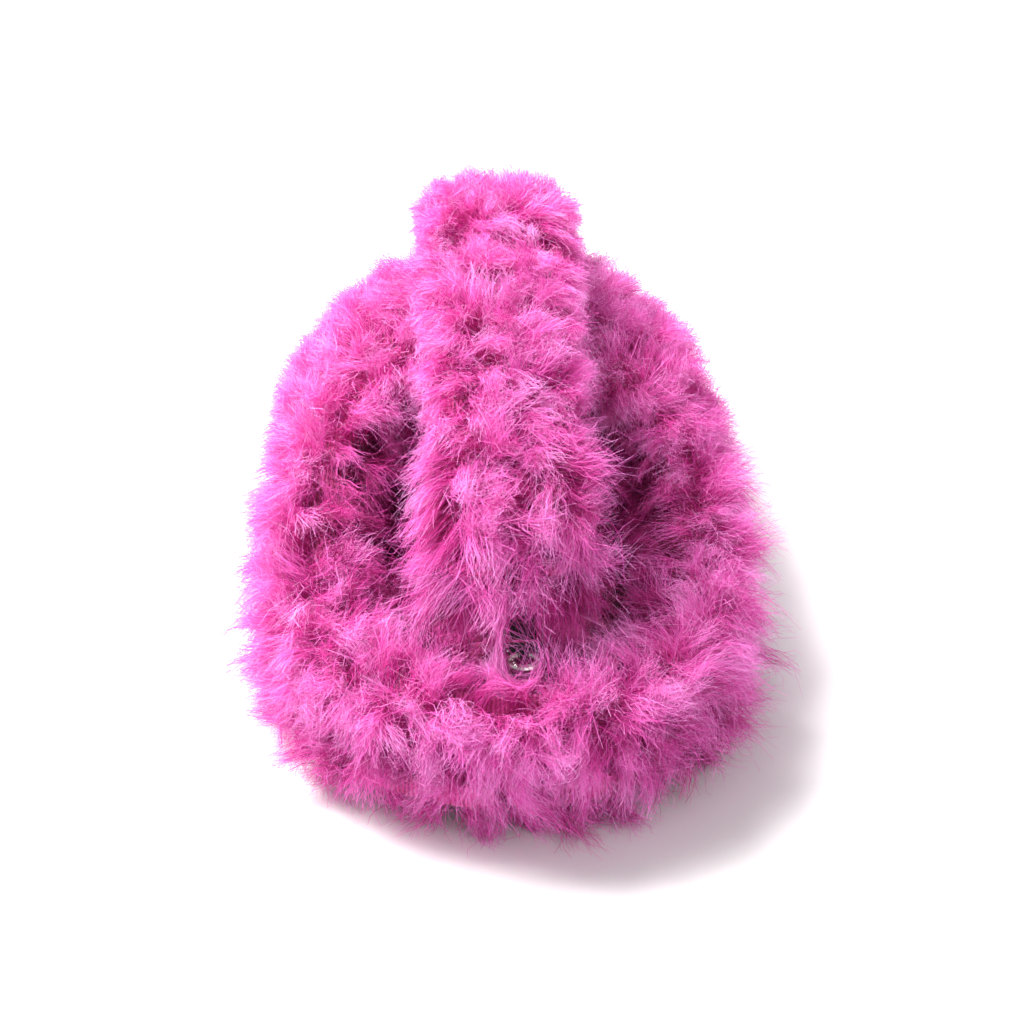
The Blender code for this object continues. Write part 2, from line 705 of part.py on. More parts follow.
def make_snap():
    """A press stud: cap and socket on the strap's tab, stud and eyelet on the heel's tongue."""
    tab_top, tab_low = TAB_Z + TAB_THICK / 2, TAB_Z - TAB_THICK / 2
    low = ring_low()
    tab = webbing_loop("snap_tab", low, (HARDWARE_X, SNAP_Y, TAB_Z), TAB_HALF, TAB_THICK)
    end = (HARDWARE_X, SNAP_Y)
    boolean(tab, cylinder_mesh(SNAP_RADIUS - 0.4 * MM, (*end, tab_low), (*end, tab_top), 28), "UNION")
    boolean(tab, cylinder_mesh(POST_HOLE, (*end, tab_low - MM), (*end, tab_top + MM)), "DIFFERENCE")
    move_origin(tab, low)
    r = SNAP_RADIUS
    place = (HARDWARE_X, SNAP_Y, 0)
    z = tab_top + GAP
    dome = [
        (r * math.sin(a), z + CAP_RIM + CAP_DOME * math.cos(a)) for a in np.linspace(0, math.pi / 2, 7)
    ]
    socket_top = tab_low - GAP
    cap = [*dome, (r, z), (POST, z), (POST, socket_top + GAP), (0, socket_top + GAP)]
    turned("snap_cap", cap, "steel", place)
    deep, roof = socket_top - SOCKET_DEPTH, socket_top - SOCKET_WALL
    socket = [
        (0, socket_top), (SOCKET_RADIUS - GAP, socket_top), (SOCKET_RADIUS, socket_top - GAP),
        (SOCKET_RADIUS, deep), (SOCKET_MOUTH, deep), (SOCKET_MOUTH, roof), (0, roof),
    ]
    turned("snap_socket", socket, "steel", place)
    tongue = TONGUE_Z[1]
    z = tongue + GAP
    flange, peak = z + STUD_FLANGE_THICK, z + STUD_HEIGHT
    stud = [
        (0, peak), (0.65 * STUD_HEAD, peak - 0.2 * MM), (STUD_HEAD, peak - 0.9 * MM),
        (STUD_NECK, peak - 2.0 * MM), (STUD_NECK, flange + 0.2 * MM), (STUD_FLANGE, flange),
        (STUD_FLANGE, z), (0, z),
    ]
    turned("snap_stud", stud, "steel", place)
    z = TONGUE_Z[0] - GAP
    eyelet = [
        (0, tongue), (POST, tongue), (POST, z), (EYELET_RADIUS, z),
        (EYELET_RADIUS, z - EYELET_THICK), (0, z - EYELET_THICK - 0.2 * MM),
    ]
    turned("snap_eyelet", eyelet, "steel", place)


def make_tongue():
    """The webbing tongue that comes out of the heel's seam and carries the stud."""
    low, high = TONGUE_Z
    half = SNAP_RADIUS
    strip = box_mesh((HARDWARE_X - half, TONGUE_ROOT, low), (HARDWARE_X + half, SNAP_Y, high))
    obj = add_object("heel_tongue", strip, "webbing", smooth=False)
    end = (HARDWARE_X, SNAP_Y)
    boolean(obj, cylinder_mesh(half, (*end, low), (*end, high), 28), "UNION")
    boolean(obj, cylinder_mesh(POST_HOLE, (*end, low - MM), (*end, high + MM)), "DIFFERENCE")


# ---------------------------------------------------------------- everything
clear_scene()
PARTS = collection("fluffy_slipper")
CUTTERS = collection("cutters")
make_sole()
make_upper()
make_strap()
make_ring()
make_snap()
make_tongue()
for piece in (*PARTS.objects, *CUTTERS.objects):
    piece.location.y += CENTRING
CUTTERS.hide_render = True
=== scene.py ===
import math

import bmesh
import bpy
import numpy as np
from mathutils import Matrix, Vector
from mathutils.bvhtree import BVHTree


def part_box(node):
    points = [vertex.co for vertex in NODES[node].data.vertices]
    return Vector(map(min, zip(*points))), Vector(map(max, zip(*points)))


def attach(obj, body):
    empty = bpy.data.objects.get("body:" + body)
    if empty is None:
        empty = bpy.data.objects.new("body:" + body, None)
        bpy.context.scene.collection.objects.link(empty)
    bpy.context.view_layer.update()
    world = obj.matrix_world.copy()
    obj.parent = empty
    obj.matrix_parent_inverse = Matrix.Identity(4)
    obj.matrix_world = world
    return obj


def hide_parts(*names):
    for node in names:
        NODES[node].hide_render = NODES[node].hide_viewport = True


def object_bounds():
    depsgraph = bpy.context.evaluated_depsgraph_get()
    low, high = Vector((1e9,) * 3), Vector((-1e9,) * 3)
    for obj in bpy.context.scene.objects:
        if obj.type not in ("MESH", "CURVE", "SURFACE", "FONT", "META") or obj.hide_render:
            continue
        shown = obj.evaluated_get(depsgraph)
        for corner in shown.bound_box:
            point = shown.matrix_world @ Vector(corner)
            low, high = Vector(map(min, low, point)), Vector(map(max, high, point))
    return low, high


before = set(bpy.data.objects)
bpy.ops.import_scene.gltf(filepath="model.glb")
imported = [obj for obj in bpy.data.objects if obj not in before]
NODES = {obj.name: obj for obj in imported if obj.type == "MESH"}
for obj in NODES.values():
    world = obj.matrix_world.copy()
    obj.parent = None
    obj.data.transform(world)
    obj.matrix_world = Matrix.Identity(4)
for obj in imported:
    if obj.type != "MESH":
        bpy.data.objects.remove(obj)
CAD_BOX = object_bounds()
MM = 0.001
SEED = 323

# Camera, which looks along the slipper from behind the heel
VIEW_ELEVATION = 30.0
VIEW_TURN = 1.1  # degrees to the left of straight behind
VIEW_DISTANCE = 0.844
VIEW_TARGET = (0.0, 0.0, 0.047)
LENS = 100.3
SHIFT_X, SHIFT_Y = 0.011, -0.068
SENSOR_WIDTH = 36.0


# ---------------------------------------------------------------- materials
def new_material(name, roughness, metallic=0.0, **sockets):
    """A material with a plain shader, whose other sockets are named with underscores."""
    mat = bpy.data.materials.new(name)
    mat.use_nodes = True
    bsdf = mat.node_tree.nodes["Principled BSDF"]
    bsdf.inputs["Roughness"].default_value = roughness
    bsdf.inputs["Metallic"].default_value = metallic
    for socket, value in sockets.items():
        bsdf.inputs[socket.replace("_", " ")].default_value = value
    return mat, mat.node_tree, bsdf


def ramp(tree, stops):
    """A colour ramp with stops given as a position and a colour."""
    node = tree.nodes.new("ShaderNodeValToRGB")
    elements = node.color_ramp.elements
    while len(elements) < len(stops):
        elements.new(0.5)
    for element, (at, colour) in zip(elements, stops):
        element.position = at
        element.color = (*colour, 1)
    return node


def texture(tree, kind, scale, **values):
    """A texture in the object's own coordinates, whose scale is in repeats per metre."""
    coords = tree.nodes.new("ShaderNodeTexCoord")
    node = tree.nodes.new(kind)
    node.inputs["Scale"].default_value = scale
    for socket, value in values.items():
        node.inputs[socket].default_value = value
    tree.links.new(coords.outputs["Object"], node.inputs["Vector"])
    return node


def bump(tree, bsdf, height, distance):
    """Fine relief of a depth in metres."""
    node = tree.nodes.new("ShaderNodeBump")
    node.inputs["Distance"].default_value = distance
    node.inputs["Strength"].default_value = 1.0
    tree.links.new(height, node.inputs["Height"])
    tree.links.new(node.outputs["Normal"], bsdf.inputs["Normal"])


def fur_material(name, stops):
    """Fibre: dark at the root as painted shade deep in the pile, pale at the tip as painted light, with
    slow changes from tuft to tuft.
    """
    mat, tree, bsdf = new_material(
        name, 0.62, Sheen_Weight=0.35, Sheen_Roughness=0.4, Sheen_Tint=(1.0, 0.62, 0.88, 1)
    )
    bsdf.inputs["Specular IOR Level"].default_value = 0.25
    # The attribute holds random tone together with painted shade at the fibre's root and painted light at
    # its tip.
    tone_and_shade = tree.nodes.new("ShaderNodeAttribute")
    tone_and_shade.attribute_name = "tone_and_shade"
    colours = ramp(tree, stops)
    tree.links.new(tone_and_shade.outputs["Fac"], colours.inputs["Fac"])
    patches = texture(tree, "ShaderNodeTexNoise", 38.0, Detail=3.0, Roughness=0.6)
    spread = ramp(tree, [(0.38, (0, 0, 0)), (0.66, (1, 1, 1))])
    tree.links.new(patches.outputs["Fac"], spread.inputs["Fac"])
    mix = tree.nodes.new("ShaderNodeMix")
    mix.data_type = "RGBA"
    mix.blend_type = "MULTIPLY"
    mix.inputs[0].default_value = 0.6
    shade = ramp(tree, [(0.0, (0.80, 0.62, 0.78)), (1.0, (1.0, 1.0, 1.0))])
    tree.links.new(spread.outputs["Color"], shade.inputs["Fac"])
    tree.links.new(colours.outputs["Color"], mix.inputs[6])
    tree.links.new(shade.outputs["Color"], mix.inputs[7])
    tree.links.new(mix.outputs[2], bsdf.inputs["Base Color"])
    return mat


def knit_material(name, dark, middle, light):
    """A knitted fabric with fine ribs."""
    mat, tree, bsdf = new_material(name, 0.85, Sheen_Weight=0.2)
    ribs = texture(tree, "ShaderNodeTexWave", 260.0, Distortion=3.0, Detail=2.0)
    stitches = texture(tree, "ShaderNodeTexVoronoi", 620.0)
    colours = ramp(tree, [(0.0, dark), (0.6, middle), (1.0, light)])
    tree.links.new(ribs.outputs["Fac"], colours.inputs["Fac"])
    tree.links.new(colours.outputs["Color"], bsdf.inputs["Base Color"])
    both = tree.nodes.new("ShaderNodeMath")
    both.operation = "ADD"
    tree.links.new(ribs.outputs["Fac"], both.inputs[0])
    tree.links.new(stitches.outputs["Distance"], both.inputs[1])
    bump(tree, bsdf, both.outputs[0], 0.0006)
    return mat


def plush_ground_material():
    """The ground that the linings' short pile stands on: deep pink, with a fine nap."""
    mat, tree, bsdf = new_material("plush_ground", 0.95, Sheen_Weight=0.3)
    nap = texture(tree, "ShaderNodeTexNoise", 900.0, Detail=5.0)
    colours = ramp(tree, [(0.3, (0.24, 0.005, 0.09)), (0.7, (0.52, 0.022, 0.22))])
    tree.links.new(nap.outputs["Fac"], colours.inputs["Fac"])
    tree.links.new(colours.outputs["Color"], bsdf.inputs["Base Color"])
    bump(tree, bsdf, nap.outputs["Fac"], 0.0008)
    return mat


def webbing_material():
    """Black webbing in a plain weave."""
    mat, tree, bsdf = new_material("woven_webbing", 0.7, Sheen_Weight=0.15)
    weave = texture(tree, "ShaderNodeTexBrick", 900.0)
    weave.inputs["Mortar Size"].default_value = 0.08
    weave.inputs["Color1"].default_value = (0.022, 0.022, 0.026, 1)
    weave.inputs["Color2"].default_value = (0.040, 0.040, 0.046, 1)
    weave.inputs["Mortar"].default_value = (0.006, 0.006, 0.008, 1)
    tree.links.new(weave.outputs["Color"], bsdf.inputs["Base Color"])
    bump(tree, bsdf, weave.outputs["Fac"], -0.0002)
    return mat


def steel_material():
    """Polished metal with faint smudges."""
    mat, tree, bsdf = new_material("polished_nickel", 0.16, 1.0)
    smudges = texture(tree, "ShaderNodeTexNoise", 300.0, Detail=4.0)
    rough = ramp(tree, [(0.3, (0.10, 0.10, 0.10)), (0.75, (0.30, 0.30, 0.30))])
    tree.links.new(smudges.outputs["Fac"], rough.inputs["Fac"])
    tree.links.new(rough.outputs["Color"], bsdf.inputs["Roughness"])
    bsdf.inputs["Base Color"].default_value = (0.78, 0.76, 0.76, 1)
    return mat


def rubber_material(name, dark, light, grain):
    """Rubber or foam, slightly mottled, with a grain of so many bumps per metre."""
    mat, tree, bsdf = new_material(name, 0.7)
    patches = texture(tree, "ShaderNodeTexNoise", 60.0, Detail=4.0)
    colours = ramp(tree, [(0.3, dark), (0.7, light)])
    tree.links.new(patches.outputs["Fac"], colours.inputs["Fac"])
    tree.links.new(colours.outputs["Color"], bsdf.inputs["Base Color"])
    fine = texture(tree, "ShaderNodeTexNoise", grain, Detail=6.0)
    bump(tree, bsdf, fine.outputs["Fac"], 0.0003)
    return mat


# Fibre colours from painted shade at the root (0.0) to painted light at the tip (1.0).
FUR_STOPS = [
    (0.0, (0.24, 0.004, 0.09)),
    (0.35, (0.70, 0.036, 0.34)),
    (0.70, (0.90, 0.15, 0.59)),
    (1.0, (0.97, 0.42, 0.85)),
]
FUR = fur_material("pink_pile", FUR_STOPS)
KNIT = knit_material("fur_backing", (0.48, 0.012, 0.17), (0.78, 0.04, 0.32), (0.88, 0.09, 0.42))
PLUSH = plush_ground_material()
BACKING = knit_material("strap_backing_knit", (0.30, 0.010, 0.09), (0.62, 0.04, 0.22), (0.72, 0.08, 0.30))
WEBBING = webbing_material()
STEEL = steel_material()
OUTSOLE = rubber_material("outsole_rubber", (0.30, 0.03, 0.13), (0.38, 0.045, 0.17), 1800.0)
RAND = rubber_material("rand_rubber", (0.34, 0.035, 0.15), (0.42, 0.05, 0.19), 1500.0)
EVA = rubber_material("midsole_foam", (0.76, 0.74, 0.72), (0.84, 0.82, 0.80), 2600.0)


# ---------------------------------------------------------------- surfaces
def mesh_arrays(mesh):
    """A mesh's vertices and triangles as arrays."""
    co = np.empty(len(mesh.vertices) * 3, np.float32)
    mesh.vertices.foreach_get("co", co)
    mesh.calc_loop_triangles()
    tris = np.empty(len(mesh.loop_triangles) * 3, np.int32)
    mesh.loop_triangles.foreach_get("vertices", tris)
    return co.reshape(-1, 3).astype(float), tris.reshape(-1, 3)


def whole_frame_tree():
    """One search tree for all CAD solids, with the node that each of its faces belongs to."""
    verts, faces, owners = [], [], []
    for name, node in NODES.items():
        co, tris = mesh_arrays(node.data)
        faces += (tris + len(verts)).tolist()
        verts += co.tolist()
        owners += [name] * len(tris)
    return BVHTree.FromPolygons(verts, faces), owners


TREE, OWNERS = whole_frame_tree()
UPPER = (
    "vamp_fur", "collar_fur", "quarter_fur_right", "quarter_fur_left", "upper_interlining",
    "upper_padding", "toe_puff", "heel_counter", "vamp_lining", "quarter_lining",
)
FRONT_STRAP = ("front_strap_fur", "front_strap_pad", "front_strap_webbing")
FREE_STRAP = ("strap_fur", "strap_pad", "strap_webbing", "strap_backing")
STRAPS = (FRONT_STRAP, (*FREE_STRAP, "strap_end_loop"))

DOWNWARD = -0.75  # a face whose normal's Z is below this looks at the floor
UNDERSIDE = 9 * MM  # and has no pile if it is lower than this


def evaluated_mesh(obj):
    """An object's mesh with its modifiers applied."""
    graph = bpy.context.evaluated_depsgraph_get()
    return bpy.data.meshes.new_from_object(obj.evaluated_get(graph))


def new_object(name, mesh, mat=None):
    """An object in the scene, with one material if any."""
    obj = bpy.data.objects.new(name, mesh)
    bpy.context.scene.collection.objects.link(obj)
    if mat:
        mesh.materials.clear()
        mesh.materials.append(mat)
    return obj


def shade_smooth(mesh):
    """Smooth shading all over a mesh."""
    for poly in mesh.polygons:
        poly.use_smooth = True


def wrapped(nodes, voxel=2.0 * MM, smoothing=6):
    """One smooth skin round several CAD solids together."""
    bm = bmesh.new()
    for node in nodes:
        bm.from_mesh(NODES[node].data)
    mesh = bpy.data.meshes.new("skin")
    bm.to_mesh(mesh)
    bm.free()
    obj = new_object("skin", mesh)
    remesh = obj.modifiers.new("remesh", "REMESH")
    remesh.mode, remesh.voxel_size = "VOXEL", voxel
    soft = obj.modifiers.new("soft", "SMOOTH")
    soft.factor, soft.iterations = 0.5, smoothing
    result = evaluated_mesh(obj)
    bpy.data.objects.remove(obj)
    return result


def hidden(at, normal, node, reach, start=1.5 * MM, across=40 * MM):
    """Whether another solid is within reach of a point, or it faces the hollow in its strap."""
    hit, _, index, distance = TREE.ray_cast(at + normal * start, normal, across)
    if hit is None:
        return False
    return distance < reach or any(
        node in strap and OWNERS[index] in strap for strap in STRAPS
    )


def open_patch(skin, node, reach=3 * MM):
    """The part of a skin that lies on one CAD solid and has nothing else within reach of it."""
    bm = bmesh.new()
    bm.from_mesh(skin)
    bm.normal_update()
    gone = []
    for face in bm.faces:
        at = face.calc_center_median()
        if face.normal.z < DOWNWARD and at.z < UNDERSIDE:
            gone.append(face)
        elif OWNERS[TREE.find_nearest(at)[2]] != node:
            gone.append(face)
        elif hidden(at, face.normal, node, reach):
            gone.append(face)
    bmesh.ops.delete(bm, geom=gone, context="FACES")
    mesh = bpy.data.meshes.new(node + "_patch")
    bm.to_mesh(mesh)
    bm.free()
    return mesh


def vertex_normals(mesh):
    """A mesh's vertex normals as an array."""
    n = np.empty(len(mesh.vertices) * 3, np.float32)
    mesh.vertex_normals.foreach_get("vector", n)
    return n.reshape(-1, 3).astype(float)


def unit(v):
    """Vectors of length 1 in the same directions."""
    return v / np.maximum(np.linalg.norm(v, axis=-1, keepdims=True), 1e-9)


def smoothstep(x, low, high):
    """A soft step from 0 at low to 1 at high."""
    t = np.clip((x - low) / (high - low), 0, 1)
    return t * t * (3 - 2 * t)


TRIES = 6  # random points drawn for each one that can be expected to stay


def scatter(mesh, spacing, rng):
    """Points and normals spread over a surface, about evenly and at least a spacing apart."""
    co, tris = mesh_arrays(mesh)
    nor = vertex_normals(mesh)
    a, b, c = co[tris[:, 0]], co[tris[:, 1]], co[tris[:, 2]]
    area = np.linalg.norm(np.cross(b - a, c - a), axis=1) / 2
    count = int(TRIES * area.sum() / spacing**2)
    pick = rng.choice(len(tris), count, p=area / area.sum())
    u, v = rng.random((2, count))
    flip = u + v > 1
    u[flip], v[flip] = 1 - u[flip], 1 - v[flip]
    w = np.stack([1 - u - v, u, v], axis=1)
    pts = (co[tris[pick]] * w[:, :, None]).sum(axis=1)
    nrm = unit((nor[tris[pick]] * w[:, :, None]).sum(axis=1))
    kept, cells = [], {}
    for i, p in enumerate(pts):
        key = tuple((p // spacing).astype(int))
        near = [
            j
            for dx in (-1, 0, 1)
            for dy in (-1, 0, 1)
            for dz in (-1, 0, 1)
            for j in cells.get((key[0] + dx, key[1] + dy, key[2] + dz), ())
        ]
        if near and (((pts[near] - p) ** 2).sum(axis=1) < spacing**2).any():
            continue
        cells.setdefault(key, []).append(i)
        kept.append(i)
    return pts[kept], nrm[kept]


# ---------------------------------------------------------------- pile
STRAY = 10.5 * MM  # how far outside the CAD's box a fibre may reach
TOE_END = 0.105  # beyond this Y the pile lies towards the toe, and behind it towards the heel
OPENING_AXIS = np.array([0.0, -0.040])  # the middle of the foot opening
OPENING_HALF = (0.056, 0.072)  # half of the foot opening's width and length, over the collar's inside

# What the tufts and their fibres have in common
TUFT_LENGTHS = (0.72, 1.22)  # shares of the stated length
FIBRE_LENGTHS = (0.62, 1.0)  # shares of the tuft's length
BOW = 0.32  # how far a tuft bends sideways, as a share of its length
TWIST = 2.4  # how far a tuft turns about its own line, in radians
GATHER = 0.90  # how far a tuft's fibres draw together at its tip
FRIZZ_SHARE = 0.22  # the share of loose fibres, and how they differ:
FRIZZ_SPREAD, FRIZZ_LENGTH, FRIZZ_GATHER, FRIZZ_WAVE = 1.3, 1.15, 0.3, 1.6
SCATTER_ROOT, SCATTER_TIP, SCATTER_FRIZZ = 0.10, 0.16, 0.45
TAPER = 0.62  # how much narrower a fibre is at its tip
FACING = 0.7  # how much a ribbon's turn about its own line varies
# Painted shade at the fibre's root and painted light towards its tip, plus random tone from tuft to tuft.
ROOT_TONE, TIP_GAIN, TONE_NOISE = 0.12, 0.80, 0.07
LOW_SHADE, INSIDE_SHADE = 0.16, 0.50  # how much painted shade darkens the pile near the floor and deep in the opening

SNAP_LOW, SNAP_HIGH = (np.array(v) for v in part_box("snap_cap"))
RING_LOW, RING_HIGH = (np.array(v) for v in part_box("loop_ring"))
# Where the pile is pushed aside round the fastener: the way the gap faces, then points and clearances
PARTED_TOWARDS = np.array([0.0, -0.84, 0.54])
PARTED_REACH = 1.8  # how many clearances away fibres still move
PARTED_SLOPE = 0.8
PARTINGS = (
    ((SNAP_LOW + SNAP_HIGH) / 2 + np.array([-1.6, 0.0, 1.6]) * MM, 4.3 * MM),
    ((RING_LOW + RING_HIGH) / 2 + np.array([-2.6, 0.0, 0.0]) * MM, 2.9 * MM),
)


def parted(pts, centre, clear):
    """The points again, moved sideways out of a narrow way to a point in front of the fastener."""
    away = pts - centre
    along = (away * PARTED_TOWARDS).sum(axis=-1, keepdims=True)
    side = away - along * PARTED_TOWARDS
    far = np.maximum(np.linalg.norm(side, axis=-1, keepdims=True), 1e-6)
    near = (along > 0) & (far < PARTED_REACH * clear)
    push = np.where(near, clear + far * PARTED_SLOPE / PARTED_REACH - far, 0.0)
    return pts + side / far * np.maximum(push, 0.0)


def swirl(p, n, t1, t2):
    """A slowly turning direction along the surface, as in pile that has been ruffled."""
    turn = 2.2 * np.sin(48 * p[:, 0] + 1.1 + 2 * np.sin(31 * p[:, 1]))
    turn += 2.0 * np.sin(41 * p[:, 1] + 0.6 + 1.5 * np.sin(37 * p[:, 2])) + 1.2 * np.sin(63 * p[:, 2])
    return np.cos(turn)[:, None] * t1 + np.sin(turn)[:, None] * t2


def inside_opening(p):
    """How deep a point lies inside the foot opening, from 0 to 1: the pile there is darkened with painted
    shade.
    """
    far = (p[:, 0] / OPENING_HALF[0]) ** 2 + ((p[:, 1] - OPENING_AXIS[1]) / OPENING_HALF[1]) ** 2
    return smoothstep(1 - far, 0.0, 0.35) * smoothstep(-p[:, 2], -0.062, -0.046)


def along_surface(direction, n):
    """The part of a direction that lies in the surface with normals n."""
    d = np.broadcast_to(np.asarray(direction, float), n.shape)
    return d - n * (d * n).sum(axis=1, keepdims=True)


def tuft_flow(p, n, t1, t2, fall, rng):
    """The way each tuft lies: down, towards the nearer end, ruffled, and some of it by chance."""
    angle = rng.random(len(p)) * 2 * math.pi
    chance = np.cos(angle)[:, None] * t1 + np.sin(angle)[:, None] * t2
    back = np.where(p[:, 1:2] > TOE_END, 1.0, -1.0) * fall[1]
    flow = along_surface((0, 0, -1), n) * fall[0] + along_surface((0, 1, 0), n) * back
    return flow + swirl(p, n, t1, t2) * fall[2] + chance * fall[3]


def kept_clear(pts, rng):
    """The fibres' points above the floor, within reach of the CAD's box and off the fastener."""
    low = (0.8 + 1.2 * rng.random((len(pts), 1))) * MM
    pts[:, :, 2] = np.maximum(pts[:, :, 2], low)
    pts = np.clip(pts, np.array(CAD_BOX[0]) - STRAY, np.array(CAD_BOX[1]) + STRAY)
    for centre, clear in PARTINGS:
        pts = parted(pts, centre, clear)
    return pts


def tufts(mesh, rng, spacing, per_tuft, depth, reach_out, fall, lean, radius, wave, width, segments):
    """Fibres in tufts: each tuft's fibres start apart and draw together towards its tip.
    Returns points (fibre, step, 3), the ribbons' sideways vectors and each point's tone, with its painted
    shade and light."""
    p, n = scatter(mesh, spacing, rng)
    deep = depth(p, n)
    root = p - n * deep[:, None]
    helper = np.where(np.abs(n[:, 2:]) < 0.9, [[0.0, 0.0, 1.0]], [[0.0, 1.0, 0.0]])
    t1 = unit(np.cross(n, helper))
    t2 = np.cross(n, t1)
    flow = tuft_flow(p, n, t1, t2, fall, rng)
    length = reach_out(p, n, deep) * rng.uniform(*TUFT_LENGTHS, len(p))
    # Painted shade: the pile is darker near the floor and deep inside the foot opening.
    tone_and_shade = rng.normal(0, TONE_NOISE, len(p)) - LOW_SHADE * smoothstep(-p[:, 2], -0.024, -0.006)
    tone_and_shade -= INSIDE_SHADE * inside_opening(p)
    bow_turn = rng.random(len(p)) * 2 * math.pi
    bow = np.cos(bow_turn)[:, None] * t1 + np.sin(bow_turn)[:, None] * t2
    bow = bow * (length * rng.uniform(-BOW, BOW, len(p)))[:, None]
    twist = rng.uniform(-TWIST, TWIST, len(p))

    which = np.repeat(np.arange(len(p)), per_tuft)
    count = len(which)
    frizz = rng.random(count) < FRIZZ_SHARE
    spread = radius * np.sqrt(rng.random(count)) * np.where(frizz, FRIZZ_SPREAD, 1.0)
    turn = rng.random(count) * 2 * math.pi
    own = rng.uniform(*FIBRE_LENGTHS, count) * np.where(frizz, FRIZZ_LENGTH, 1.0)
    reach = (length[which] * own)[:, None]
    jitter = rng.normal(0, 1, (count, 3))
    first = unit(n[which] + flow[which] * lean[0] + jitter * SCATTER_ROOT)
    stray = np.where(frizz, SCATTER_FRIZZ, SCATTER_TIP)[:, None]
    last = unit(n[which] * lean[1] + flow[which] + jitter * stray)
    steps = np.linspace(0, 1, segments + 1)
    pull = GATHER * np.where(frizz, FRIZZ_GATHER, 1.0)
    phase = rng.random((count, 2)) * 2 * math.pi
    turns = rng.uniform(0.7, 1.7, (count, 2))
    size = wave * rng.uniform(0.4, 1.2, count) * np.where(frizz, FRIZZ_WAVE, 1.0)
    pts = np.empty((count, segments + 1, 3))
    for k, s in enumerate(steps):
        bend = root[which] + first * reach * (s - s * s / 2) + last * reach * (s * s / 2)
        gather = (1 - pull * s**0.7)[:, None]
        curl = size * s**0.8
        w1 = (curl * np.sin(2 * math.pi * turns[:, 0] * s + phase[:, 0]))[:, None]
        w2 = (curl * np.sin(2 * math.pi * turns[:, 1] * s + phase[:, 1]))[:, None]
        spun = turn + twist[which] * s
        side = (np.cos(spun) * spread)[:, None] * t1[which] + (np.sin(spun) * spread)[:, None] * t2[which]
        arch = bow[which] * math.sin(math.pi * s * 0.8)
        pts[:, k] = bend + side * gather + w1 * t1[which] + w2 * t2[which] + arch
    pts = kept_clear(pts, rng)
    tangent = unit(np.gradient(pts, axis=1))
    face = unit(n[which] + FACING * rng.normal(0, 1, (count, 3)))
    across = unit(np.cross(tangent, face[:, None, :]))
    taper = (1 - TAPER * steps**1.5) * width / 2
    across = across * (taper[None, :] * rng.uniform(0.8, 1.25, (count, 1)))[:, :, None]
    own_tone = (tone_and_shade[which] + rng.normal(0, TONE_NOISE, count))[:, None]
    # Painted shade at the root, brightening to painted light at the tip.
    shade = ROOT_TONE + TIP_GAIN * steps[None, :] ** 0.9 + own_tone
    return pts, across, np.clip(shade, 0, 1)


def ribbon_mesh(name, pts, across, tone_and_shade):
    """A flat ribbon along each fibre, with its tone and painted shade as an attribute."""
    count, rows = pts.shape[:2]
    verts = np.stack([pts - across, pts + across], axis=2).reshape(-1, 3)
    start = np.arange(count)[:, None] * rows * 2 + np.arange(rows - 1)[None, :] * 2
    start = start.reshape(-1)
    quads = np.stack([start, start + 1, start + 3, start + 2], axis=1)
    mesh = bpy.data.meshes.new(name)
    mesh.vertices.add(len(verts))
    mesh.vertices.foreach_set("co", verts.astype(np.float32).reshape(-1))
    mesh.loops.add(len(quads) * 4)
    mesh.loops.foreach_set("vertex_index", quads.astype(np.int32).reshape(-1))
    mesh.polygons.add(len(quads))
    mesh.polygons.foreach_set("loop_start", np.arange(len(quads), dtype=np.int32) * 4)
    mesh.polygons.foreach_set("use_smooth", np.ones(len(quads), bool))
    # Random tone together with painted shade and painted light.
    shade = mesh.attributes.new("tone_and_shade", "FLOAT", "POINT")
    shade.data.foreach_set("value", np.repeat(tone_and_shade.reshape(-1), 2).astype(np.float32))
    mesh.update(calc_edges=True)
    return mesh


def pile(name, patch, body, pieces, seed, **shape):
    """Grows fibres on a patch and shares them between pieces from heel to toe."""
    rng = np.random.default_rng(SEED + seed)
    pts, across, tone_and_shade = tufts(patch, rng, **shape)
    order = np.argsort(pts[:, 0, 1], kind="stable")
    for k, part in enumerate(np.array_split(order, pieces)):
        label = f"{name}_{k + 1}"
        obj = new_object(label, ribbon_mesh(label, pts[part], across[part], tone_and_shade[part]), FUR)
        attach(obj, body)


KNIT_THICK = 1.2 * MM
KNIT_BELOW = 0.2 * MM  # how far under the fibres' roots the knit lies
KNIT_LOWEST = 5 * MM


def pelt(name, patch, depth, body):
    """The fur's knitted backing, under the pile of a patch."""
    mesh = patch.copy()
    co, _ = mesh_arrays(mesh)
    nor = vertex_normals(mesh)
    co = co - nor * (depth(co, nor) + KNIT_BELOW)[:, None]
    co[:, 2] = np.maximum(co[:, 2], KNIT_LOWEST)
    mesh.vertices.foreach_set("co", co.astype(np.float32).reshape(-1))
    mesh.update()
    obj = new_object(name, mesh, KNIT)
    soft = obj.modifiers.new("soft", "SMOOTH")
    soft.factor, soft.iterations = 0.5, 6
    thick = obj.modifiers.new("thick", "SOLIDIFY")
    thick.thickness, thick.offset = KNIT_THICK, -1
    final = evaluated_mesh(obj)
    obj.modifiers.clear()
    obj.data = final
    final.materials.clear()
    final.materials.append(KNIT)
    shade_smooth(final)
    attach(obj, body)
    return obj


# The pile's depth and length in millimetres, and the strap's fold in metres
PELT_DEPTH = 12.0
PILE_LENGTH = 19.5
FOLD_Y = 0.0235
FOLD_WIDTH = 0.013


def inwardness(p, n):
    """How much a point of the collar faces the foot opening, from 0 to 1."""
    out = unit(p[:, :2] - OPENING_AXIS)
    return smoothstep(-(out * n[:, :2]).sum(axis=1), 0.15, 0.8)


def at_fold(p):
    """How near a point is to the fold where the strap starts to lift, from 0 to 1."""
    return np.exp(-(((p[:, 1] - FOLD_Y) / FOLD_WIDTH) ** 2))


